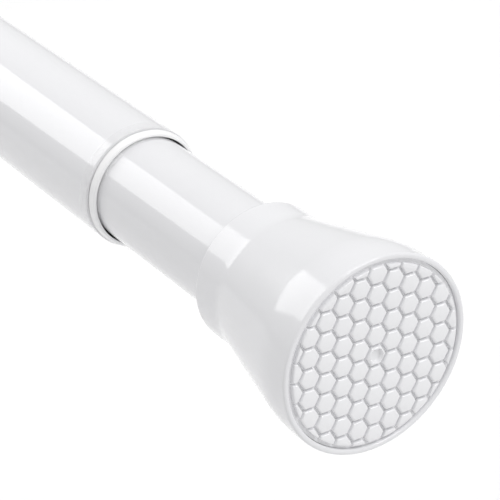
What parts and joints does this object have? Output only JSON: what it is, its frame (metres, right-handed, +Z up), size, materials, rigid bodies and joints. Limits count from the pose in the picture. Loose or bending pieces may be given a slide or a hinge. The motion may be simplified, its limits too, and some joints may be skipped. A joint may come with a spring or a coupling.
{
  "type": "spring tension rod",
  "caption": "Telescoping curtain tension rod with flared end caps and honeycomb grip pads; twisting the inner tube lengthens it, and a spring inside presses it between two walls.",
  "frame": {"origin": "middle of the left pad's wall face", "axes": "+X along the rod from the left wall to the right wall, +Z up, +Y towards the back"},
  "size_m": [0.5092, 0.0382, 0.0382],
  "materials": {
    "white_paint": "gloss",
    "white_cap_plastic": "gloss",
    "soft_white_pad": "satin",
    "clear_plastic": "clear",
    "spring_steel": "bright wire",
    "zinc_steel": "zinc plated",
    "grey_plastic": "matte"
  },
  "bodies": {
    "outer": {"outer_tube": "white_paint", "tube_collar": "clear_plastic", "left_end_cap": "white_cap_plastic", "left_pad": "soft_white_pad", "spring_anchor": "grey_plastic", "spring": "spring_steel"},
    "screw": {"screw_rod": "zinc_steel", "spring_seat": "grey_plastic", "tail_nut": "zinc_steel", "end_nut": "zinc_steel"},
    "bush": {"guide_bush": "grey_plastic"},
    "inner": {"inner_tube": "white_paint", "drive_nut": "grey_plastic", "right_end_cap": "white_cap_plastic", "right_pad": "soft_white_pad"}
  },
  "joints": [
    {"name": "spring_press", "type": "slide", "parent": "outer", "child": "screw", "axis": [1, 0, 0], "range_m": [-0.025, 0], "stiffness_N_per_m": 3000, "deforming": ["spring"]},
    {"name": "screw_feed", "type": "slide", "parent": "screw", "child": "bush", "axis": [1, 0, 0], "range_m": [-0.0101, 0.1601]},
    {"name": "tube_twist", "type": "hinge", "parent": "bush", "child": "inner", "pos_m": [0.2, 0, 0], "axis": [1, 0, 0], "range_deg": [-720, 11520]}
  ],
  "couplings": [
    {"joint": "screw_feed", "follows": "tube_twist", "m_per_rad": 0.00079577}
  ]
}
